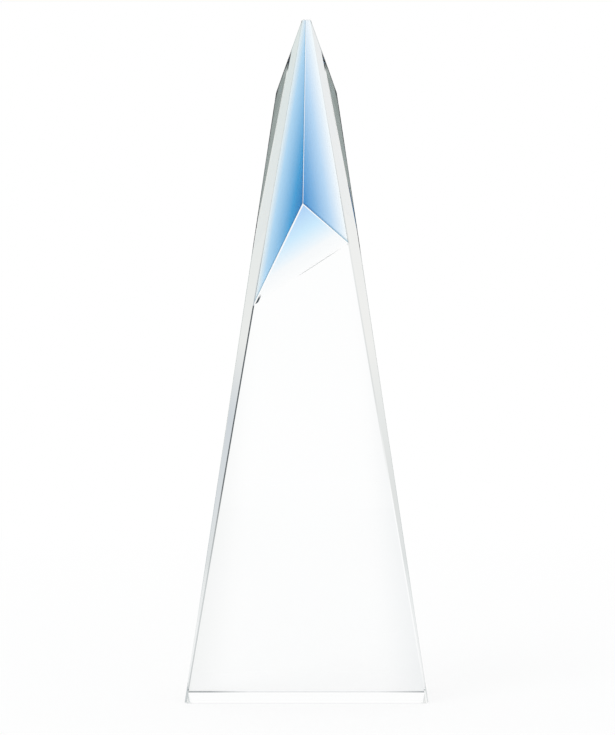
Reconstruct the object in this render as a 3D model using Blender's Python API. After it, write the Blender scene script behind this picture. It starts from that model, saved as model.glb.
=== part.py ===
"""Crystal award: a clear faceted tower with a crystal wedge set flush in its upper front, on blue films.

Metres, +Z up, front towards -Y, origin at the middle of the foot. Every solid is ground from a block by flat cuts.
"""

import math

import bmesh
import bpy
from mathutils import Vector

# Tower
TOWER_HEIGHT = 0.254
BASE_WIDTH = 0.0910
BASE_DEPTH = 0.0330
SHOULDER_DROP = 0.0270
SHOULDER_WIDTH = 0.0226
TIP_WIDTH = 0.0033
TIP_DEPTH = 0.0080
BEVEL_FOOT = 0.0005
FRONT_BEVEL_TURN = math.radians(42)
BACK_BEVEL_TURN = math.radians(50)

# Pocket for the wedge, cut from the front face and measured down from the tip
POCKET_LEFT_DROP = 0.1058
POCKET_RIGHT_DROP = 0.0828
POCKET_CORNER_DROP = 0.0685
POCKET_CORNER_OFFSET = -0.0013
POCKET_DEPTH = 0.0080

# Bonding
FILM_THICKNESS = 0.0002
BOND_GAP = 0.0003

CRYSTAL_IOR = 1.517
UP = Vector((0, 0, 1))


def clear_scene():
    for item in list(bpy.data.objects):
        bpy.data.objects.remove(item, do_unlink=True)


def crystal_material(name, colour, roughness, transmission):
    material = bpy.data.materials.new(name)
    material.use_nodes = True
    shader = material.node_tree.nodes["Principled BSDF"]
    shader.inputs["Base Color"].default_value = (*colour, 1)
    shader.inputs["Roughness"].default_value = roughness
    shader.inputs["Metallic"].default_value = 0
    shader.inputs["Transmission Weight"].default_value = transmission
    shader.inputs["IOR"].default_value = CRYSTAL_IOR
    return material


class Flat:
    """A ground flat: a point on it and its outward normal. Material is kept on the inner side."""

    def __init__(self, point, normal):
        self.point = Vector(point)
        self.normal = Vector(normal).normalized()

    def moved(self, outward):
        return Flat(self.point + self.normal * outward, self.normal)

    def turned(self):
        return Flat(self.point, -self.normal)


def flat_through(first, second, third, outside):
    """The flat through three points, with its normal on the same side as the point outside."""
    normal = (second - first).cross(third - first)
    if normal.dot(outside - first) < 0:
        normal = -normal
    return Flat(first, normal)


def ground_block(name, flats, material):
    """One object: a block large enough for the tower, ground back to every flat in turn."""
    shape = bmesh.new()
    bmesh.ops.create_cube(shape, size=4 * max(TOWER_HEIGHT, BASE_WIDTH, BASE_DEPTH))
    for flat in flats:
        everything = shape.verts[:] + shape.edges[:] + shape.faces[:]
        cut = bmesh.ops.bisect_plane(
            shape, geom=everything, plane_co=flat.point, plane_no=flat.normal, clear_outer=True
        )
        rim = [item for item in cut["geom_cut"] if isinstance(item, bmesh.types.BMEdge)]
        bmesh.ops.edgeloop_fill(shape, edges=rim)
    bmesh.ops.recalc_face_normals(shape, faces=shape.faces[:])
    mesh = bpy.data.meshes.new(name)
    shape.to_mesh(mesh)
    shape.free()
    mesh.materials.append(material)
    piece = bpy.data.objects.new(name, mesh)
    bpy.context.scene.collection.objects.link(piece)
    return piece


def taper(foot, top, height):
    """How far a leaning flat comes in for each metre of height."""
    return (foot - top) / height


# Leans of the tower's flats, front and back alike
FACE_LEAN = taper(BASE_DEPTH / 2, TIP_DEPTH / 2, TOWER_HEIGHT)
SIDE_LEAN = taper(BASE_WIDTH / 2, SHOULDER_WIDTH / 2, TOWER_HEIGHT - SHOULDER_DROP)
ROOF_LEAN = taper(SHOULDER_WIDTH / 2, TIP_WIDTH / 2, SHOULDER_DROP)


def face_point(side, height):
    """The point on the front face's edge line at a height: side is -1 on the left and 1 on the right."""
    foot = BASE_WIDTH / 2 - BEVEL_FOOT
    lean = taper(foot, TIP_WIDTH / 2, TOWER_HEIGHT)
    return Vector((side * (foot - lean * height), FACE_LEAN * height - BASE_DEPTH / 2, height))


def bevel_flat(side, end):
    """The tapered bevel between a side and the front (end -1) or the back (end 1)."""
    foot = face_point(side, 0)
    tip = face_point(side, TOWER_HEIGHT)
    turn = FRONT_BEVEL_TURN if end < 0 else BACK_BEVEL_TURN
    outward = foot + Vector((side * math.cos(turn), math.sin(turn), 0))
    flat = flat_through(foot, tip, outward, foot + Vector((side, -1, 0)))
    mirror = Vector((1, -end, 1))
    return Flat(flat.point * mirror, flat.normal * mirror)


FOOT = Flat((0, 0, 0), -UP)
TIP = Flat((0, 0, TOWER_HEIGHT), UP)
FRONT = Flat((0, -BASE_DEPTH / 2, 0), (0, -1, FACE_LEAN))
BACK = Flat((0, BASE_DEPTH / 2, 0), (0, 1, FACE_LEAN))


def tower_flats():
    flats = [FOOT, TIP, FRONT, BACK]
    for side in (-1, 1):
        flats.append(Flat((side * BASE_WIDTH / 2, 0, 0), (side, 0, SIDE_LEAN)))
        flats.append(Flat((side * TIP_WIDTH / 2, 0, TOWER_HEIGHT), (side, 0, ROOF_LEAN)))
        for end in (-1, 1):
            flats.append(bevel_flat(side, end))
    return flats


# The pocket's three inner flats meet at its corner, and its rim lies on the front face's edge lines
POCKET_CORNER_HEIGHT = TOWER_HEIGHT - POCKET_CORNER_DROP
POCKET_CORNER = Vector((
    POCKET_CORNER_OFFSET,
    FACE_LEAN * POCKET_CORNER_HEIGHT - BASE_DEPTH / 2 + POCKET_DEPTH,
    POCKET_CORNER_HEIGHT,
))
RIM_LEFT = face_point(-1, TOWER_HEIGHT - POCKET_LEFT_DROP)
RIM_RIGHT = face_point(1, TOWER_HEIGHT - POCKET_RIGHT_DROP)
BEHIND = POCKET_CORNER + Vector((0, BASE_DEPTH, 0))
BELOW = RIM_LEFT - UP
LEFT_WALL = flat_through(RIM_LEFT, face_point(-1, TOWER_HEIGHT), POCKET_CORNER, BEHIND)
RIGHT_WALL = flat_through(RIM_RIGHT, face_point(1, TOWER_HEIGHT), POCKET_CORNER, BEHIND)
FLOOR = flat_through(RIM_LEFT, RIM_RIGHT, POCKET_CORNER, BELOW)

# Depths measured inwards from the pocket's flats to each bonded layer
FILM_BACK = -BOND_GAP
FILM_FRONT = FILM_BACK - FILM_THICKNESS
WEDGE_BACK = FILM_FRONT - BOND_GAP


def make_tower():
    tower = ground_block(
        "crystal_tower", tower_flats(), crystal_material("clear_crystal", (0.97, 0.98, 0.98), 0.02, 1)
    )
    proud = FRONT.moved(BASE_DEPTH)
    above = TIP.moved(BASE_DEPTH)
    cutter = ground_block(
        "pocket_cutter", [LEFT_WALL, RIGHT_WALL, FLOOR, proud, above], tower.data.materials[0]
    )
    cutter.hide_render = True
    cutter.display_type = "WIRE"
    pocket = tower.modifiers.new("pocket", "BOOLEAN")
    pocket.operation = "DIFFERENCE"
    pocket.solver = "EXACT"
    pocket.object = cutter


def make_wedge():
    flats = [flat.moved(WEDGE_BACK) for flat in (LEFT_WALL, RIGHT_WALL, FLOOR)]
    ground_block(
        "accent_wedge", flats + [FRONT, TIP], crystal_material("wedge_crystal", (0.86, 0.94, 1.0), 0.02, 1)
    )


def make_film(name, wall, limits, colour):
    """A thin film on one pocket wall, trimmed at its neighbours and flush with the tower's front and tip."""
    layer = [wall.moved(FILM_BACK), wall.moved(FILM_FRONT).turned()]
    ground_block(name, layer + limits + [FRONT, TIP], crystal_material(name, colour, 0.1, 0.8))


def make_films():
    make_film(
        "left_tint_film",
        LEFT_WALL,
        [RIGHT_WALL.moved(FILM_BACK), FLOOR.moved(FILM_BACK)],
        (0.10, 0.45, 0.78),
    )
    make_film(
        "right_tint_film",
        RIGHT_WALL,
        [LEFT_WALL.moved(WEDGE_BACK), FLOOR.moved(FILM_BACK)],
        (0.30, 0.60, 0.88),
    )
    make_film(
        "floor_tint_film",
        FLOOR,
        [LEFT_WALL.moved(WEDGE_BACK), RIGHT_WALL.moved(WEDGE_BACK)],
        (0.62, 0.83, 0.97),
    )


def main():
    clear_scene()
    make_tower()
    make_wedge()
    make_films()


main()
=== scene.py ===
"""Looks of the crystal award: polished crystal, blue films bonded inside it and a plain white studio."""

import math

import bmesh
import bpy
from bpy.props import FloatProperty, FloatVectorProperty, PointerProperty
from mathutils import Matrix, Vector


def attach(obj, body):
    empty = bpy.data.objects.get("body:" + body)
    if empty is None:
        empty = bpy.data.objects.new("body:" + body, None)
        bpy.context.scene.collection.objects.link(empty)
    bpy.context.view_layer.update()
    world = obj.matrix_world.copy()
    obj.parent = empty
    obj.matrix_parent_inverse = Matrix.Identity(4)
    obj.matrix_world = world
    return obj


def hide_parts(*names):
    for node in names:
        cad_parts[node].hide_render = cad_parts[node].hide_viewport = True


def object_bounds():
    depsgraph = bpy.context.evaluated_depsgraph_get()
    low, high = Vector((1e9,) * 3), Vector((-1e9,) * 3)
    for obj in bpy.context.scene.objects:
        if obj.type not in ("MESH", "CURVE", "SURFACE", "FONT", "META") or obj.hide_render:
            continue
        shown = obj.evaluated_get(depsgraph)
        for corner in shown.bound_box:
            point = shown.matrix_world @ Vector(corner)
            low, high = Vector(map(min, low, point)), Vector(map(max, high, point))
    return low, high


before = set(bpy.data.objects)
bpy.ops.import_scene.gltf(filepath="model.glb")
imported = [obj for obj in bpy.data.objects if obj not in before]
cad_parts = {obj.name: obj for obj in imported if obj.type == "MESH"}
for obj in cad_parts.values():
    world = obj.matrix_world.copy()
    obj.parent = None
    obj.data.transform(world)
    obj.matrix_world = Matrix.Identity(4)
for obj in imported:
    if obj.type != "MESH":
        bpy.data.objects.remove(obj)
CAD_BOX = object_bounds()

bl_info = {
    "name": "Crystal Award",
    "version": (1, 0, 0),
    "blender": (4, 5, 0),
    "location": "3D View > Sidebar > Award",
    "description": "Dresses the crystal award in polished crystal and blue films on a white stage",
    "category": "Object",
}

BODY = "root"
TOWER_NODE = "crystal_tower"
WEDGE_NODE = "accent_wedge"
LEFT_FILM_NODE = "left_tint_film"
RIGHT_FILM_NODE = "right_tint_film"
FLOOR_FILM_NODE = "floor_tint_film"
FILM_NODES = (LEFT_FILM_NODE, RIGHT_FILM_NODE, FLOOR_FILM_NODE)

WHITE = (1, 1, 1)
BLACK = (0, 0, 0)

# How closely two normals, reaches or points agree when they belong to one flat or one point
PARALLEL = 0.99999
SAME_REACH = 1e-5
SAME_POINT = 1e-6
SAME_FLAT = math.radians(0.1)
BONDED_WITHIN = 0.002

# How far a face's normal points along an axis
SLIGHTLY = 0.1
PARTLY = 0.3
HALF = 0.5
MOSTLY = 0.8

# Order of the materials on the tower, of which the wedge has the first two
POLISHED = 0
BONDED = 1
ARRIS = 2
LEFT_EDGE = 3
FOOT_EDGE = 4
SIDE_EDGE = 5
BACK_FOOT_EDGE = 6
FRONT_BEVEL = 7

# Where the painted shades of edges and bevels change, as shares of the tower's height
LEFT_EDGE_HEIGHTS = (0.17, 0.32)
SIDE_EDGE_HEIGHTS = (0.65, 0.668, 0.71, 0.76, 0.89, 0.92, 0.945, 0.965)
FRONT_BEVEL_HEIGHTS = (0.05, 0.21, 0.29)

# Where the painted shade of the foot's back edge changes, as shares of the way from its right end to its
# left
BACK_FOOT_PLACES = (0, 0.2, 0.74, 0.9)

# Where the tints of the films change, as shares of the pocket's depth
LEFT_FILM_DEPTHS = (0.02, 0.2, 0.7, 1)
RIGHT_FILM_DEPTHS = (0.02, 0.36, 0.7, 1)
FLOOR_FILM_DEPTHS = (0.02, 0.25, 0.6, 1)

# Where the hairline on the pocket's rim changes, as shares of the way up each side and of the way
# from left to right along the floor
SIDE_HAIRLINE = (0.16, 0.26)
FLOOR_HAIRLINE = (0.46, 0.54, 0.8, 0.92)

# Shares of the dark marks' reach and width near the pocket's corners that are fully dark
LEFT_DARK_REACH_SHARE = 0.7
LEFT_DARK_WIDTH_SHARE = 0.8
CORNER_DARK = 0.6

# Scale and detail of the noise in the crystal and in the bond
CLOUD_NOISE = (14, 2)
TRACE_NOISE = (320, 4)
WAVE_NOISE = (45, 0)
BOND_NOISE = (60, 2)

WAVE_HEIGHT = 0.0005
BOND_TINT = (0.985, 0.99, 0.99, 1)

# Distances along X at which the studio's tone changes, as the crystal shows it
TONE_STEPS = (0.03, 0.08, 0.15, 0.22, 0.58)
SKY_SPREAD = 4

# Sheets of the stage
FLOOR_DROP = 0.0002
FLOOR_PAINT = (0.95, 0.95, 0.95, 1)
SHADE_DROP = 0.0001
SHADE_INSET = 0.001
SHADE_PAINT = (0.01, 0.01, 0.012, 1)
CARD_FADE = 0.4

PICTURE_HEIGHT = 735
SENSOR_WIDTH = 36
CRYSTAL_BOUNCES = 32


# Settings that a user would change


def linear(red, green, blue):
    """A screen colour of 0 to 255 as the linear colour that a shader takes."""
    def channel(value):
        value /= 255
        return value / 12.92 if value <= 0.04045 else ((value + 0.055) / 1.055) ** 2.4
    return channel(red), channel(green), channel(blue)


def colour(name, description, *screen):
    """A colour setting, with its default given as a screen colour."""
    return FloatVectorProperty(
        name=name, description=description, subtype="COLOR", size=3, min=0, max=1, default=linear(*screen)
    )


def length(name, description, default):
    """A length setting in metres."""
    return FloatProperty(name=name, description=description, default=default, unit="LENGTH", precision=5)


def amount(name, description, default, subtype="NONE"):
    """A plain number setting."""
    return FloatProperty(name=name, description=description, default=default, subtype=subtype, precision=4)


class AwardCrystal(bpy.types.PropertyGroup):
    """Finish of the clear crystal, and the painted shade of its edges and bevels."""

    arris: length("Arris", "Width of the ground edges", 0.0003)
    ior: amount("Refraction", "Refractive index of the crystal", 1.517)
    gloss: amount("Gloss", "Strength of the crystal's own reflections", 0.22, "FACTOR")
    clear: colour("Clear", "Tint of the crystal at its clearest", 255, 255, 255)
    deep: colour("Deep", "Tint of the crystal where it is thickest", 252, 253, 253)
    haze: amount("Haze", "Most roughness left by the polish", 0.004)
    waves: amount("Waves", "Strength of the waves in the polished faces", 0.004, "FACTOR")
    # Painted shade: this grey darkens the ground edges to stand for the dark lines they show in the
    # crystal; their haze and waves are real roughness.
    arris_painted_shade: colour("Arris tint", "Tint of the ground edges", 174, 183, 183)
    arris_haze: amount("Arris haze", "Most roughness of the ground edges", 0.024)
    arris_waves: amount("Arris waves", "Strength of the waves in the ground edges", 0.02, "FACTOR")
    # Painted shade: the colours below darken the front face's left edge, the side edges, the foot's back
    # edge and the front bevels by height or along the foot.
    left_edge: colour("Left edge", "Shade of the upper part of the front face's left edge", 40, 45, 47)
    left_edge_low: colour("Left edge low", "Shade of the lower part of that edge", 190, 194, 195)
    side_edge: colour("Side edges", "Shade of the upper edges at the sides", 70, 77, 77)
    dark_edge: colour("Dark edges", "Shade of the side edges at the ends of their shaded stretch", 4, 8, 8)
    foot_edge: colour("Foot edge", "Shade of the foot's back edge towards its corners", 115, 121, 123)
    foot_middle: colour("Foot middle", "Shade of the foot's back edge in the middle", 226, 229, 229)
    bevel_low: colour("Bevel low", "Shade of the front bevels below the middle", 206, 211, 211)
    bevel_foot: colour("Bevel foot", "Shade of the front bevels at the foot", 240, 242, 242)


class AwardFilms(bpy.types.PropertyGroup):
    """Blue films between the tower and the wedge."""

    bond: length("Bond", "Clear bond on each side of a film", 0.00002)
    thickness: length("Thickness", "Thickness of a film", 0.00003)
    lip: length("Lip", "How far the films stop below the front and the tip", 0.00005)
    ridge_seam: length("Ridge seam", "Open seam between the left and right films", 0.00014)
    left_seam: length("Left seam", "Open seam between the left and floor films", 0.00028)
    right_seam: length("Right seam", "Open seam between the right and floor films", 0.00014)
    seam_shade: colour("Seam shade", "Shade of the side films along their lower seams", 150, 186, 200)
    ridge_shade: colour("Ridge shade", "Shade of the left film along the right film", 200, 212, 220)
    shade_width: length("Shade width", "Width of the shades along the seams", 0.0004)
    # The next four settings give the reach, width and tint of the darker marks on the floor film near the
    # pocket's corners.
    left_dark_reach: length("Left bead", "Reach of the dark bond up the left seam", 0.0052)
    left_dark_width: length("Bead width", "Width of the dark bond beside the left seam", 0.0006)
    right_dark_reach: length("Right bead", "Reach of the dark bond in the pocket's right corner", 0.0007)
    corner_dark_tint: colour("Bead", "Tint of the dark bond in the pocket's corners", 32, 50, 60)
    hairline: colour("Hairline", "Shade along parts of the films' outer edges", 150, 154, 156)
    hairline_depth: length("Hairline depth", "Depth of that shade behind the front face", 0.00016)
    left_rim: colour("Left rim", "Tint of the left film at its rim", 231, 240, 243)
    left_shallow: colour("Left shallow", "Tint of the left film near its rim", 176, 215, 243)
    left_middle: colour("Left middle", "Tint of the left film half way in", 60, 158, 214)
    left_deep: colour("Left deep", "Tint of the left film at its deepest", 0, 114, 184)
    right_rim: colour("Right rim", "Tint of the right film at its rim", 247, 252, 255)
    right_shallow: colour("Right shallow", "Tint of the right film near its rim", 185, 217, 245)
    right_middle: colour("Right middle", "Tint of the right film half way in", 120, 178, 226)
    right_deep: colour("Right deep", "Tint of the right film at its deepest", 20, 136, 206)
    floor_rim: colour("Floor rim", "Tint of the floor film at its rim", 255, 255, 255)
    floor_shallow: colour("Floor shallow", "Tint of the floor film near its rim", 249, 251, 253)
    floor_middle: colour("Floor middle", "Tint of the floor film half way in", 206, 236, 255)
    floor_deep: colour("Floor deep", "Tint of the floor film at its deepest", 170, 208, 247)


class AwardStage(bpy.types.PropertyGroup):
    """Floor, surroundings, lamp and camera."""

    floor_size: length("Floor", "Side of the floor", 4.0)
    floor_glow: amount("Floor white", "Share of white that hides the shadow at the foot", 0.85, "FACTOR")
    shadow_near: length("Shadow near", "Radius within which the shadow is strongest", 0.1)
    shadow_far: length("Shadow far", "Radius beyond which the floor is plain white", 0.45)
    left_near: colour("Left near", "Studio tone close by on the left", 221, 223, 222)
    left_middle: colour("Left middle", "Studio tone a little further out on the left", 231, 233, 232)
    left_outer: colour("Left outer", "Studio tone well out on the left", 241, 241, 239)
    left_far: colour("Left far", "Studio tone far out on the left", 238, 239, 239)
    right_near: colour("Right near", "Studio tone close by on the right", 213, 218, 221)
    right_middle: colour("Right middle", "Studio tone a little further out on the right", 207, 213, 218)
    right_outer: colour("Right outer", "Studio tone well out on the right", 236, 237, 235)
    right_far: colour("Right far", "Studio tone far out on the right", 223, 230, 228)
    card_tone: colour("Cards", "Tone at the middle of the grey cards", 143, 153, 150)
    card_width: length("Card width", "Of each grey card, along X", 0.26)
    card_length: length("Card length", "Of each grey card, along Y", 0.17)
    card_side: length("Card side", "From the award to the middle of each grey card", 0.355)
    card_forward: length("Card forward", "How far the grey cards lie towards the camera", 0.1)
    lamp_place: FloatVectorProperty(
        name="Lamp place",
        description="Middle of the lamp",
        default=(-1.1, -1.0, 1.9),
        subtype="TRANSLATION",
    )
    lamp_aim: length("Lamp aim", "Height that the lamp faces", 0.12)
    lamp_size: length("Lamp size", "Side of the square lamp", 1.0)
    lamp_power: FloatProperty(name="Lamp power", description="Power of the lamp", default=12, unit="POWER")
    distance: length("Distance", "From camera to award", 1.72)
    elevation: amount("Elevation", "Camera height above level", math.radians(6), "ANGLE")
    aim: length("Aim", "Height that the camera looks at", 0.1243)
    sideways: length("Sideways", "Camera offset to the right", 0.0004)
    focal_pixels: amount("Focal length", "Focal length in picture rows", 4600)


# Flats of the solids


class Flat:
    """One flat of a solid: its outward normal, its distance from the origin and its area."""

    def __init__(self, normal, reach, area=0.0):
        self.normal = Vector(normal)
        self.reach = reach
        self.area = area

    def moved(self, outward):
        return Flat(self.normal, self.reach + outward, self.area)

    def turned(self):
        return Flat(-self.normal, -self.reach, self.area)

    def same(self, other):
        return self.normal.dot(other.normal) > PARALLEL and abs(self.reach - other.reach) < SAME_REACH

    def faces(self, other):
        """Whether the other flat lies bonded opposite this one."""
        return self.normal.dot(other.normal) < -PARALLEL and abs(self.reach + other.reach) < BONDED_WITHIN


def flats_of(node):
    """The distinct flats of a CAD solid, the largest first."""
    flats = []
    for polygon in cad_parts[node].data.polygons:
        flat = Flat(polygon.normal, polygon.normal.dot(polygon.center), polygon.area)
        for known in flats:
            if known.same(flat):
                known.area += flat.area
                break
        else:
            flats.append(flat)
    return sorted(flats, key=lambda flat: -flat.area)


def pocket_wall(film):
    """The wall of the tower's pocket that a film covers, with its normal away from the wedge."""
    for flat in flats_of(film):
        for wall in flats_of(TOWER_NODE):
            if flat.faces(wall):
                return wall.turned()
    raise RuntimeError(f"no wall of the tower lies behind {film}")


def meeting_point(first, second, third):
    """The point where three flats meet."""
    rows = Matrix((first.normal, second.normal, third.normal))
    return rows.inverted() @ Vector((first.reach, second.reach, third.reach))


def start_flat(start, end):
    """The flat through start that faces away from end."""
    along = (end - start).normalized()
    return Flat(-along, -along.dot(start))


class Pocket:
    """The tower's pocket: its three walls, and the front and tip that the wedge shares with the tower."""

    def __init__(self):
        wedge = flats_of(WEDGE_NODE)
        self.front = min(wedge, key=lambda flat: flat.normal.y)
        self.tip = max(wedge, key=lambda flat: flat.normal.z)
        self.walls = {node: pocket_wall(node) for node in FILM_NODES}
        self.corner = meeting_point(*self.walls.values())
        self.depth = self.front.reach - self.corner.dot(self.front.normal)

    def rim_foot(self, node):
        """The lower end of a side wall's rim."""
        return meeting_point(self.front, self.walls[node], self.walls[FLOOR_FILM_NODE])

    def rim_top(self, node):
        """The upper end of a side wall's rim."""
        return meeting_point(self.front, self.walls[node], self.tip)


# Meshes


def ground_block(flats):
    """A block ground back to every flat in turn."""
    low, high = CAD_BOX
    shape = bmesh.new()
    bmesh.ops.create_cube(shape, size=4 * (high - low).length)
    for flat in flats:
        everything = shape.verts[:] + shape.edges[:] + shape.faces[:]
        point = flat.normal * flat.reach
        cut = bmesh.ops.bisect_plane(
            shape, geom=everything, plane_co=point, plane_no=flat.normal, clear_outer=True
        )
        rim = [item for item in cut["geom_cut"] if isinstance(item, bmesh.types.BMEdge)]
        bmesh.ops.edgeloop_fill(shape, edges=rim)
    bmesh.ops.recalc_face_normals(shape, faces=shape.faces[:])
    return shape


def whole_faces(node):
    """A CAD solid's mesh with one face on each flat."""
    shape = bmesh.new()
    shape.from_mesh(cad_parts[node].data)
    bmesh.ops.remove_doubles(shape, verts=shape.verts[:], dist=SAME_POINT)
    bmesh.ops.dissolve_limit(shape, angle_limit=SAME_FLAT, verts=shape.verts[:], edges=shape.edges[:])
    bmesh.ops.recalc_face_normals(shape, faces=shape.faces[:])
    return shape


def mark_bonded(shape, partners):
    """Gives the faces that lie against a partner's flat the bonded material."""
    for face in shape.faces:
        flat = Flat(face.normal, face.normal.dot(face.calc_center_median()))
        bonded = any(flat.faces(partner) for partner in partners)
        face.material_index = BONDED if bonded else POLISHED


def grind_arrises(shape, width):
    """Takes the sharp edge off between polished faces."""
    edges = [
        edge for edge in shape.edges
        if all(face.material_index == POLISHED for face in edge.link_faces)
    ]
    bmesh.ops.bevel(
        shape, geom=edges, offset=width, offset_type="OFFSET", segments=1, profile=0.5, affect="EDGES",
        material=ARRIS,
    )


def edge_material(normal):
    """The material of an arris, from where it faces."""
    if normal.z < -HALF:
        return BACK_FOOT_EDGE if normal.y > PARTLY else FOOT_EDGE
    if normal.y < -MOSTLY and normal.x < -SLIGHTLY:
        return LEFT_EDGE
    if normal.y < -MOSTLY and normal.x > SLIGHTLY:
        return POLISHED
    if abs(normal.x) > MOSTLY:
        return SIDE_EDGE
    return ARRIS


def mark_edges(shape):
    """Gives the arrises and the front bevels the materials that go with where they face."""
    for face in shape.faces:
        if face.material_index == ARRIS:
            face.material_index = edge_material(face.normal)
        elif face.material_index == POLISHED and face.normal.y < -HALF and abs(face.normal.x) > HALF:
            face.material_index = FRONT_BEVEL


def keep_inside(shape):
    """Moves points that the arrises push out of the CAD box back onto it."""
    low, high = CAD_BOX
    for vertex in shape.verts:
        for axis in range(3):
            vertex.co[axis] = min(max(vertex.co[axis], low[axis]), high[axis])


def add_piece(name, shape, materials, node):
    """Makes the piece that stands for a CAD node."""
    mesh = bpy.data.meshes.new(name)
    shape.to_mesh(mesh)
    shape.free()
    for material in materials:
        mesh.materials.append(material)
    piece = bpy.data.objects.new(name, mesh)
    bpy.context.scene.collection.objects.link(piece)
    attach(piece, BODY)
    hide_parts(node)


# Shared parts of the materials


def new_material(name):
    """A node material and its Principled shader."""
    material = bpy.data.materials.new(name)
    material.use_nodes = True
    return material, material.node_tree, material.node_tree.nodes["Principled BSDF"]


def new_group(name, inputs, outputs):
    """A shader node group with named sockets, and its input and output nodes."""
    group = bpy.data.node_groups.new(name, "ShaderNodeTree")
    for side, sockets in (("INPUT", inputs), ("OUTPUT", outputs)):
        for socket, kind in sockets.items():
            group.interface.new_socket(socket, in_out=side, socket_type=f"NodeSocket{kind}")
    return group, group.nodes.new("NodeGroupInput"), group.nodes.new("NodeGroupOutput")


def add_noise(tree, scale, detail):
    """Noise that is fixed to the piece."""
    place = tree.nodes.new("ShaderNodeTexCoord")
    noise = tree.nodes.new("ShaderNodeTexNoise")
    noise.inputs["Scale"].default_value = scale
    noise.inputs["Detail"].default_value = detail
    tree.links.new(place.outputs["Object"], noise.inputs["Vector"])
    return noise.outputs["Fac"]


def add_ramp(tree, share, places, tints):
    """A colour that runs through the tints as a share passes their places."""
    ramp = tree.nodes.new("ShaderNodeValToRGB")
    elements = ramp.color_ramp.elements
    while len(elements) < len(places):
        elements.new(0.5)
    for element, place, tint in zip(elements, places, tints):
        element.position = place
        element.color = (*tint, 1)
    tree.links.new(share, ramp.inputs["Fac"])
    return ramp.outputs["Color"]


def bond_group():
    """Shared look of the clear bond: a faint cloud of its tint."""
    name = "bond_cloud"
    if name in bpy.data.node_groups:
        return bpy.data.node_groups[name]
    group, given, result = new_group(name, {"Tint": "Color"}, {"Tone": "Color"})
    tone = group.nodes.new("ShaderNodeMix")
    tone.data_type = "RGBA"
    tone.inputs["B"].default_value = (*WHITE, 1)
    group.links.new(add_noise(group, *BOND_NOISE), tone.inputs["Factor"])
    group.links.new(given.outputs["Tint"], tone.inputs["A"])
    group.links.new(tone.outputs["Result"], result.inputs["Tone"])
    return group


def polish_group():
    """Shared look of polished crystal: cloudy tint, traces of polish in the roughness and slow waves."""
    name = "polish_traces"
    if name in bpy.data.node_groups:
        return bpy.data.node_groups[name]
    group, given, result = new_group(
        name,
        {"Clear": "Color", "Deep": "Color", "Haze": "Float"},
        {"Tint": "Color", "Haze": "Float", "Wave": "Float"},
    )
    tint = group.nodes.new("ShaderNodeMix")
    tint.data_type = "RGBA"
    haze = group.nodes.new("ShaderNodeMath")
    haze.operation = "MULTIPLY"
    group.links.new(add_noise(group, *CLOUD_NOISE), tint.inputs["Factor"])
    group.links.new(given.outputs["Clear"], tint.inputs["A"])
    group.links.new(given.outputs["Deep"], tint.inputs["B"])
    group.links.new(add_noise(group, *TRACE_NOISE), haze.inputs[0])
    group.links.new(given.outputs["Haze"], haze.inputs[1])
    group.links.new(tint.outputs["Result"], result.inputs["Tint"])
    group.links.new(haze.outputs["Value"], result.inputs["Haze"])
    group.links.new(add_noise(group, *WAVE_NOISE), result.inputs["Wave"])
    return group


def depth_group():
    """Shared measure: a value that rises from 0 on a flat to 1 at a depth behind it."""
    name = "depth_behind"
    if name in bpy.data.node_groups:
        return bpy.data.node_groups[name]
    group, given, result = new_group(
        name, {"Normal": "Vector", "Reach": "Float", "Depth": "Float"}, {"Share": "Float"}
    )
    place = group.nodes.new("ShaderNodeTexCoord")
    along = group.nodes.new("ShaderNodeVectorMath")
    along.operation = "DOT_PRODUCT"
    below = group.nodes.new("ShaderNodeMath")
    below.operation = "SUBTRACT"
    share = group.nodes.new("ShaderNodeMath")
    share.operation = "DIVIDE"
    share.use_clamp = True
    group.links.new(place.outputs["Object"], along.inputs[0])
    group.links.new(given.outputs["Normal"], along.inputs[1])
    group.links.new(given.outputs["Reach"], below.inputs[0])
    group.links.new(along.outputs["Value"], below.inputs[1])
    group.links.new(below.outputs["Value"], share.inputs[0])
    group.links.new(given.outputs["Depth"], share.inputs[1])
    group.links.new(share.outputs["Value"], result.inputs["Share"])
    return group


def depth_ramp(tree, flat, depth, places, tints):
    """A colour that runs through the tints from a flat to a depth behind it."""
    behind = tree.nodes.new("ShaderNodeGroup")
    behind.node_tree = depth_group()
    behind.inputs["Normal"].default_value = flat.normal
    behind.inputs["Reach"].default_value = flat.reach
    behind.inputs["Depth"].default_value = depth
    return add_ramp(tree, behind.outputs["Share"], places, tints)


def shade(material, flat, depth, places, tints, share=None):
    """Darkens a material by tints that run from a flat to a depth behind it, or by a share of them."""
    tree = material.node_tree
    base = tree.nodes["Principled BSDF"].inputs["Base Color"]
    both = tree.nodes.new("ShaderNodeMix")
    both.data_type = "RGBA"
    both.blend_type = "MULTIPLY"
    both.inputs["Factor"].default_value = 1
    if share:
        tree.links.new(share, both.inputs["Factor"])
    tree.links.new(base.links[0].from_socket, both.inputs["A"])
    tree.links.new(depth_ramp(tree, flat, depth, places, tints), both.inputs["B"])
    tree.links.new(both.outputs["Result"], base)


# Crystal


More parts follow.
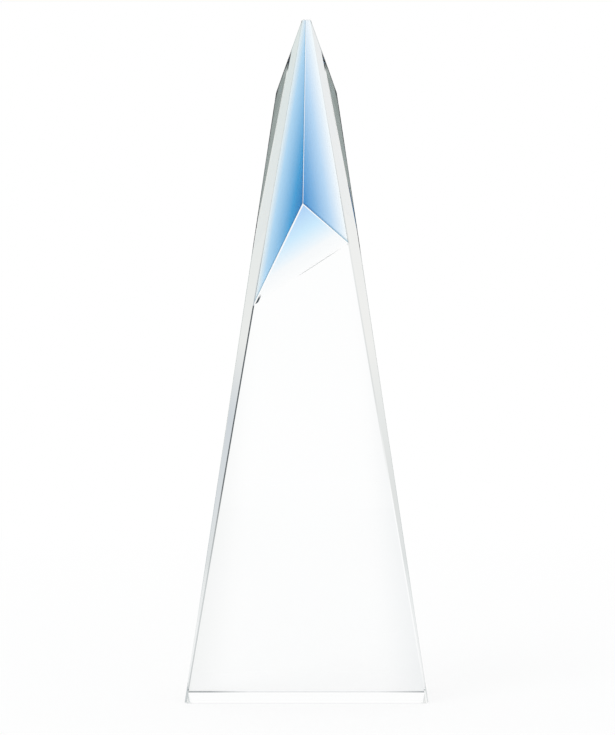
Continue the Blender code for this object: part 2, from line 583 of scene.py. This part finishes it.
def crystal(name, look, clear, deep, haze, waves):
    """Clear crystal with traces of its polish."""
    material, tree, shader = new_material(name)
    shader.inputs["Transmission Weight"].default_value = 1
    shader.inputs["IOR"].default_value = look.ior
    shader.inputs["Specular IOR Level"].default_value = look.gloss
    traces = tree.nodes.new("ShaderNodeGroup")
    traces.node_tree = polish_group()
    traces.inputs["Clear"].default_value = (*clear, 1)
    traces.inputs["Deep"].default_value = (*deep, 1)
    traces.inputs["Haze"].default_value = haze
    bump = tree.nodes.new("ShaderNodeBump")
    bump.inputs["Strength"].default_value = waves
    bump.inputs["Distance"].default_value = WAVE_HEIGHT
    tree.links.new(traces.outputs["Tint"], shader.inputs["Base Color"])
    tree.links.new(traces.outputs["Haze"], shader.inputs["Roughness"])
    tree.links.new(traces.outputs["Wave"], bump.inputs["Height"])
    tree.links.new(bump.outputs["Normal"], shader.inputs["Normal"])
    return material


def polished(name, look):
    """A polished face."""
    return crystal(name, look, look.clear, look.deep, look.haze, look.waves)


def ground(name, look):
    """A ground edge, darkened by painted shade."""
    return crystal(name, look, look.deep, look.arris_painted_shade, look.arris_haze, look.arris_waves)


def unbending(name):
    """A material that light crosses straight, as it does where a bond matches the crystal."""
    material, tree, shader = new_material(name)
    shader.inputs["Transmission Weight"].default_value = 1
    shader.inputs["IOR"].default_value = 1
    shader.inputs["Roughness"].default_value = 0
    return material, tree, shader.inputs["Base Color"]


def clear_face(name):
    """A clear face that light crosses straight."""
    if name in bpy.data.materials:
        return bpy.data.materials[name]
    material, tree, base = unbending(name)
    cloud = tree.nodes.new("ShaderNodeGroup")
    cloud.node_tree = bond_group()
    cloud.inputs["Tint"].default_value = BOND_TINT
    tree.links.new(cloud.outputs["Tone"], base)
    return material


def tower_materials(look):
    """The tower's materials, in their order on its faces."""
    materials = [
        polished("tower_polish", look),
        clear_face("clear_bond"),
        ground("tower_arris", look),
        ground("tower_left_edge", look),
        clear_face("tower_foot_edge"),
        ground("tower_side_edge", look),
        clear_face("tower_back_foot_edge"),
        polished("tower_front_bevel", look),
    ]
    low, high = CAD_BOX
    foot = Flat((0, 0, -1), -low.z)
    right = Flat((1, 0, 0), high.x)
    height = high.z - low.z
    width = high.x - low.x
    dark = look.dark_edge
    side = look.side_edge
    side_tints = (WHITE, dark, dark, side, side, dark, dark, WHITE)
    left_tints = (look.left_edge_low, look.left_edge)
    foot_tints = (look.foot_edge, look.foot_middle, look.foot_middle, look.foot_edge)
    bevel_tints = (look.bevel_foot, look.bevel_low, WHITE)
    # Painted shade on the side edges, the left edge, the foot's back edge and the front bevels
    shade(materials[SIDE_EDGE], foot, height, SIDE_EDGE_HEIGHTS, side_tints)
    shade(materials[LEFT_EDGE], foot, height, LEFT_EDGE_HEIGHTS, left_tints)
    shade(materials[BACK_FOOT_EDGE], right, width, BACK_FOOT_PLACES, foot_tints)
    shade(materials[FRONT_BEVEL], foot, height, FRONT_BEVEL_HEIGHTS, bevel_tints)
    return materials


class AWARD_OT_tower(bpy.types.Operator):
    """Make the polished tower with its ground arrises and its pocket"""

    bl_idname = "award.tower"
    bl_label = "Tower"

    def execute(self, context):
        look = context.scene.award_crystal
        shape = whole_faces(TOWER_NODE)
        mark_bonded(shape, flats_of(WEDGE_NODE))
        grind_arrises(shape, look.arris)
        mark_edges(shape)
        keep_inside(shape)
        add_piece("polished_tower", shape, tower_materials(look), TOWER_NODE)
        return {"FINISHED"}


class AWARD_OT_wedge(bpy.types.Operator):
    """Make the polished wedge that fills the pocket"""

    bl_idname = "award.wedge"
    bl_label = "Wedge"

    def execute(self, context):
        films = context.scene.award_films
        pocket = Pocket()
        layers = 2 * films.bond + films.thickness
        backs = [wall.moved(-layers) for wall in pocket.walls.values()]
        shape = ground_block([*backs, pocket.front, pocket.tip])
        mark_bonded(shape, flats_of(TOWER_NODE))
        materials = [polished("wedge_polish", context.scene.award_crystal), clear_face("clear_bond")]
        add_piece("polished_wedge", shape, materials, WEDGE_NODE)
        return {"FINISHED"}


# Films


def seam_width(look, first, second):
    """Width of the open seam between two films."""
    films = (first, second)
    if FLOOR_FILM_NODE not in films:
        return look.ridge_seam
    return look.left_seam if LEFT_FILM_NODE in films else look.right_seam


def film_shape(node, pocket, look):
    """A film on one wall of the pocket, cut back at its seams and below the front and the tip."""
    back = pocket.walls[node].moved(-look.bond)
    face = back.moved(-look.thickness).turned()
    others = [other for other in FILM_NODES if other != node]
    seams = [pocket.walls[other].moved(-seam_width(look, node, other)) for other in others]
    return ground_block([back, face, *seams, pocket.front.moved(-look.lip), pocket.tip.moved(-look.lip)])


def tint_film(name, pocket, depths, tints):
    """A film whose blue deepens with its depth behind the front face."""
    material, tree, base = unbending(name)
    tree.links.new(depth_ramp(tree, pocket.front, pocket.depth, depths, tints), base)
    return material


def shade_seam(material, wall, seam, look, tint):
    """Darkens a film along its seam with the film on another wall."""
    depth = seam + look.shade_width
    shade(material, wall, depth, (seam / depth, 1), (tint, WHITE))


def shade_rim(material, pocket, start, end, places, tints, look):
    """Darkens the outer edge of a film to a hairline where the tints from start to end are white."""
    share = depth_ramp(material.node_tree, start_flat(start, end), (end - start).length, places, tints)
    shade(material, pocket.front, look.hairline_depth, (0, 1), (look.hairline, WHITE), share)


def darken_left_corner(material, pocket, look):
    """Darkens the floor film beside its left seam, near the front."""
    lowest = start_flat(pocket.rim_foot(LEFT_FILM_NODE), pocket.corner)
    share = depth_ramp(material.node_tree, lowest, look.left_dark_reach, (LEFT_DARK_REACH_SHARE, 1), (WHITE, BLACK))
    width = look.left_seam + look.left_dark_width
    wall = pocket.walls[LEFT_FILM_NODE]
    shade(material, wall, width, (LEFT_DARK_WIDTH_SHARE, 1), (look.corner_dark_tint, WHITE), share)


def shade_corner(material, shape, corner, reach, tint):
    """Darkens a film near a corner of the pocket."""
    middle = sum((vertex.co for vertex in shape.verts), Vector()) / len(shape.verts)
    shade(material, start_flat(corner, middle), reach, (CORNER_DARK, 1), (tint, WHITE))


def shade_side_rim(material, node, pocket, look):
    """Darkens the lower part of a side film's rim to a hairline."""
    foot = pocket.rim_foot(node)
    top = pocket.rim_top(node)
    shade_rim(material, pocket, foot, top, SIDE_HAIRLINE, (WHITE, BLACK), look)


def make_left_film(pocket, look):
    """The deepest blue, shaded along both of its seams."""
    name = "left_blue_film"
    shape = film_shape(LEFT_FILM_NODE, pocket, look)
    tints = (look.left_rim, look.left_shallow, look.left_middle, look.left_deep)
    film = tint_film(name, pocket, LEFT_FILM_DEPTHS, tints)
    shade_side_rim(film, LEFT_FILM_NODE, pocket, look)
    shade_seam(film, pocket.walls[FLOOR_FILM_NODE], look.left_seam, look, look.seam_shade)
    shade_seam(film, pocket.walls[RIGHT_FILM_NODE], look.ridge_seam, look, look.ridge_shade)
    add_piece(name, shape, [film], LEFT_FILM_NODE)


def make_right_film(pocket, look):
    """Mid blue, shaded along its lower seam."""
    name = "right_blue_film"
    shape = film_shape(RIGHT_FILM_NODE, pocket, look)
    tints = (look.right_rim, look.right_shallow, look.right_middle, look.right_deep)
    film = tint_film(name, pocket, RIGHT_FILM_DEPTHS, tints)
    shade_side_rim(film, RIGHT_FILM_NODE, pocket, look)
    shade_seam(film, pocket.walls[FLOOR_FILM_NODE], look.right_seam, look, look.seam_shade)
    add_piece(name, shape, [film], RIGHT_FILM_NODE)


def make_floor_film(pocket, look):
    """Pale blue, with a hairline on part of its rim, and darker near both corners."""
    name = "floor_blue_film"
    shape = film_shape(FLOOR_FILM_NODE, pocket, look)
    tints = (look.floor_rim, look.floor_shallow, look.floor_middle, look.floor_deep)
    film = tint_film(name, pocket, FLOOR_FILM_DEPTHS, tints)
    left = pocket.rim_foot(LEFT_FILM_NODE)
    right = pocket.rim_foot(RIGHT_FILM_NODE)
    shade_rim(film, pocket, left, right, FLOOR_HAIRLINE, (BLACK, WHITE, WHITE, BLACK), look)
    darken_left_corner(film, pocket, look)
    shade_corner(film, shape, right, look.right_dark_reach, look.corner_dark_tint)
    add_piece(name, shape, [film], FLOOR_FILM_NODE)


class AWARD_OT_films(bpy.types.Operator):
    """Make the three blue films on the walls of the pocket"""

    bl_idname = "award.films"
    bl_label = "Films"

    def execute(self, context):
        look = context.scene.award_films
        pocket = Pocket()
        make_left_film(pocket, look)
        make_right_film(pocket, look)
        make_floor_film(pocket, look)
        return {"FINISHED"}


# Stage


def plain_nodes(tree):
    """Clears a node tree, and gives the call that adds a node to it."""
    tree.nodes.clear()
    return tree.nodes.new


def plain_material(name):
    """A material with no nodes yet, and the call that adds one."""
    material = bpy.data.materials.new(name)
    material.use_nodes = True
    return material, material.node_tree, plain_nodes(material.node_tree)


def white_for_looking(tree):
    """A value of 1 for rays that see the stage, straight or through the crystal, and 0 for its light."""
    path = tree.nodes.new("ShaderNodeLightPath")
    seen = path.outputs["Is Camera Ray"]
    for ray in ("Is Glossy Ray", "Is Transmission Ray"):
        total = tree.nodes.new("ShaderNodeMath")
        total.operation = "MAXIMUM"
        tree.links.new(seen, total.inputs[0])
        tree.links.new(path.outputs[ray], total.inputs[1])
        seen = total.outputs["Value"]
    return seen


def side_tone(tree, place, spread, stage):
    """White in the middle, and the stage's tones further out along X on the left and the right."""
    far = TONE_STEPS[-1]
    parts = tree.nodes.new("ShaderNodeSeparateXYZ")
    across = tree.nodes.new("ShaderNodeMapRange")
    across.inputs["From Min"].default_value = -far * spread
    across.inputs["From Max"].default_value = far * spread
    tree.links.new(place, parts.inputs["Vector"])
    tree.links.new(parts.outputs["X"], across.inputs["Value"])
    left = [0.5 - step / far / 2 for step in reversed(TONE_STEPS)]
    right = [0.5 + step / far / 2 for step in TONE_STEPS]
    left_tones = (stage.left_far, stage.left_outer, stage.left_middle, stage.left_near, WHITE)
    right_tones = (WHITE, stage.right_near, stage.right_middle, stage.right_outer, stage.right_far)
    return add_ramp(tree, across.outputs["Result"], left + right, left_tones + right_tones)


def white_to_camera(tree, tone):
    """A colour that is white to the camera and has the given tone in the crystal."""
    path = tree.nodes.new("ShaderNodeLightPath")
    white = tree.nodes.new("ShaderNodeMix")
    white.data_type = "RGBA"
    white.inputs["B"].default_value = (*WHITE, 1)
    tree.links.new(path.outputs["Is Camera Ray"], white.inputs["Factor"])
    tree.links.new(tone, white.inputs["A"])
    return white.outputs["Result"]


def floor_material(stage):
    """White paint that keeps a faint shadow close to the award and shows as plain white further out."""
    material, tree, add = plain_material("white_floor")
    result = add("ShaderNodeOutputMaterial")
    paint = add("ShaderNodeBsdfDiffuse")
    paint.inputs["Color"].default_value = FLOOR_PAINT
    glow = add("ShaderNodeEmission")
    place = add("ShaderNodeTexCoord")
    away = add("ShaderNodeVectorMath")
    away.operation = "LENGTH"
    near = add("ShaderNodeMapRange")
    near.inputs["From Min"].default_value = stage.shadow_near
    near.inputs["From Max"].default_value = stage.shadow_far
    near.inputs["To Min"].default_value = stage.floor_glow
    near.inputs["To Max"].default_value = 1
    share = add("ShaderNodeMath")
    share.operation = "MULTIPLY"
    both = add("ShaderNodeMixShader")
    tone = side_tone(tree, place.outputs["Object"], 1, stage)
    tree.links.new(white_to_camera(tree, tone), glow.inputs["Color"])
    tree.links.new(place.outputs["Object"], away.inputs[0])
    tree.links.new(away.outputs["Value"], near.inputs["Value"])
    tree.links.new(white_for_looking(tree), share.inputs[0])
    tree.links.new(near.outputs["Result"], share.inputs[1])
    tree.links.new(share.outputs["Value"], both.inputs["Fac"])
    tree.links.new(paint.outputs["BSDF"], both.inputs[1])
    tree.links.new(glow.outputs["Emission"], both.inputs[2])
    tree.links.new(both.outputs["Shader"], result.inputs["Surface"])
    return material


def shade_material():
    """The dark of the floor under the foot, which no light reaches."""
    material, tree, add = plain_material("foot_shade")
    result = add("ShaderNodeOutputMaterial")
    dark = add("ShaderNodeBsdfDiffuse")
    dark.inputs["Color"].default_value = SHADE_PAINT
    tree.links.new(dark.outputs["BSDF"], result.inputs["Surface"])
    return material


def card_material(stage):
    """Grey that fades out towards the card's edges."""
    material, tree, add = plain_material("grey_card")
    result = add("ShaderNodeOutputMaterial")
    place = add("ShaderNodeTexCoord")
    middle = add("ShaderNodeMapping")
    middle.inputs["Location"].default_value = (-1, -1, 0)
    middle.inputs["Scale"].default_value = (2, 2, 0)
    fade = add("ShaderNodeTexGradient")
    fade.gradient_type = "SPHERICAL"
    cover = add("ShaderNodeMapRange")
    cover.interpolation_type = "SMOOTHSTEP"
    cover.inputs["From Max"].default_value = CARD_FADE
    clear = add("ShaderNodeBsdfTransparent")
    grey = add("ShaderNodeEmission")
    grey.inputs["Color"].default_value = (*stage.card_tone, 1)
    both = add("ShaderNodeMixShader")
    tree.links.new(place.outputs["Generated"], middle.inputs["Vector"])
    tree.links.new(middle.outputs["Vector"], fade.inputs["Vector"])
    tree.links.new(fade.outputs["Fac"], cover.inputs["Value"])
    tree.links.new(cover.outputs["Result"], both.inputs["Fac"])
    tree.links.new(clear.outputs["BSDF"], both.inputs[1])
    tree.links.new(grey.outputs["Emission"], both.inputs[2])
    tree.links.new(both.outputs["Shader"], result.inputs["Surface"])
    return material


def add_sheet(name, low, high, height, material):
    """A level sheet of the stage between two corners."""
    outline = ((low[0], low[1]), (high[0], low[1]), (high[0], high[1]), (low[0], high[1]))
    mesh = bpy.data.meshes.new(name)
    mesh.from_pydata([(x, y, height) for x, y in outline], [], [range(4)])
    mesh.materials.append(material)
    sheet = bpy.data.objects.new(name, mesh)
    bpy.context.scene.collection.objects.link(sheet)
    return sheet


def make_floor(stage):
    """The white floor, just below the foot."""
    half = stage.floor_size / 2
    add_sheet("floor", (-half, -half), (half, half), -FLOOR_DROP, floor_material(stage))


def make_foot_shade():
    """The patch under the foot, just inside its edges and just above the floor."""
    low, high = CAD_BOX
    first = (low.x + SHADE_INSET, low.y + SHADE_INSET)
    last = (high.x - SHADE_INSET, high.y - SHADE_INSET)
    add_sheet("foot_shade", first, last, low.z - SHADE_DROP, shade_material())


def make_cards(stage):
    """Grey cards that lie on the floor at both sides and show only in the crystal."""
    material = card_material(stage)
    half_width = stage.card_width / 2
    half_length = stage.card_length / 2
    y = -stage.card_forward
    for name, side in (("left_card", -1), ("right_card", 1)):
        x = side * stage.card_side
        first = (x - half_width, y - half_length)
        last = (x + half_width, y + half_length)
        card = add_sheet(name, first, last, 0, material)
        card.visible_camera = False
        card.visible_diffuse = False
        card.visible_shadow = False


def make_world(stage):
    """White to the camera, and a studio that is dimmer to the sides for the crystal and for light."""
    world = bpy.data.worlds.new("studio")
    bpy.context.scene.world = world
    world.use_nodes = True
    tree = world.node_tree
    add = plain_nodes(tree)
    result = add("ShaderNodeOutputWorld")
    sky = add("ShaderNodeBackground")
    place = add("ShaderNodeTexCoord")
    tone = side_tone(tree, place.outputs["Generated"], SKY_SPREAD, stage)
    tree.links.new(white_to_camera(tree, tone), sky.inputs["Color"])
    tree.links.new(sky.outputs["Background"], result.inputs["Surface"])


def make_lamp(stage):
    """A soft square lamp that faces the award."""
    light = bpy.data.lights.new("key_lamp", "AREA")
    light.size = stage.lamp_size
    light.energy = stage.lamp_power
    lamp = bpy.data.objects.new("key_lamp", light)
    bpy.context.scene.collection.objects.link(lamp)
    lamp.location = stage.lamp_place
    towards = Vector((0, 0, stage.lamp_aim)) - lamp.location
    lamp.rotation_euler = towards.to_track_quat("-Z", "Y").to_euler()


def make_camera(stage):
    """A camera that looks a little down at the award from the front."""
    lens = bpy.data.cameras.new("camera")
    lens.sensor_width = SENSOR_WIDTH
    lens.lens = stage.focal_pixels / PICTURE_HEIGHT * SENSOR_WIDTH
    camera = bpy.data.objects.new("camera", lens)
    bpy.context.scene.collection.objects.link(camera)
    back = stage.distance * math.cos(stage.elevation)
    rise = stage.distance * math.sin(stage.elevation)
    camera.location = (stage.sideways, -back, stage.aim + rise)
    camera.rotation_euler = (math.radians(90) - stage.elevation, 0, 0)
    bpy.context.scene.camera = camera


class AWARD_OT_stage(bpy.types.Operator):
    """Make the floor, the side cards, the light and the camera"""

    bl_idname = "award.stage"
    bl_label = "Stage"

    def execute(self, context):
        stage = context.scene.award_stage
        context.scene.view_settings.view_transform = "Standard"
        context.scene.cycles.max_bounces = CRYSTAL_BOUNCES
        context.scene.cycles.glossy_bounces = CRYSTAL_BOUNCES
        context.scene.cycles.transmission_bounces = CRYSTAL_BOUNCES
        make_floor(stage)
        make_foot_shade()
        make_cards(stage)
        make_world(stage)
        make_lamp(stage)
        make_camera(stage)
        return {"FINISHED"}


class AWARD_PT_panel(bpy.types.Panel):
    """Pieces of the award and their settings"""

    bl_idname = "AWARD_PT_panel"
    bl_label = "Crystal Award"
    bl_space_type = "VIEW_3D"
    bl_region_type = "UI"
    bl_category = "Award"

    def draw(self, context):
        for operator in (AWARD_OT_tower, AWARD_OT_wedge, AWARD_OT_films, AWARD_OT_stage):
            self.layout.operator(operator.bl_idname)
        for group in (context.scene.award_crystal, context.scene.award_films, context.scene.award_stage):
            box = self.layout.box()
            for name in group.__annotations__:
                box.prop(group, name)


CLASSES = (
    AwardCrystal,
    AwardFilms,
    AwardStage,
    AWARD_OT_tower,
    AWARD_OT_wedge,
    AWARD_OT_films,
    AWARD_OT_stage,
    AWARD_PT_panel,
)


def register():
    for item in CLASSES:
        bpy.utils.register_class(item)
    bpy.types.Scene.award_crystal = PointerProperty(type=AwardCrystal)
    bpy.types.Scene.award_films = PointerProperty(type=AwardFilms)
    bpy.types.Scene.award_stage = PointerProperty(type=AwardStage)


def unregister():
    del bpy.types.Scene.award_stage
    del bpy.types.Scene.award_films
    del bpy.types.Scene.award_crystal
    for item in reversed(CLASSES):
        bpy.utils.unregister_class(item)


def main():
    register()
    bpy.ops.award.tower()
    bpy.ops.award.wedge()
    bpy.ops.award.films()
    bpy.ops.award.stage()


if __name__ == "__main__":
    main()
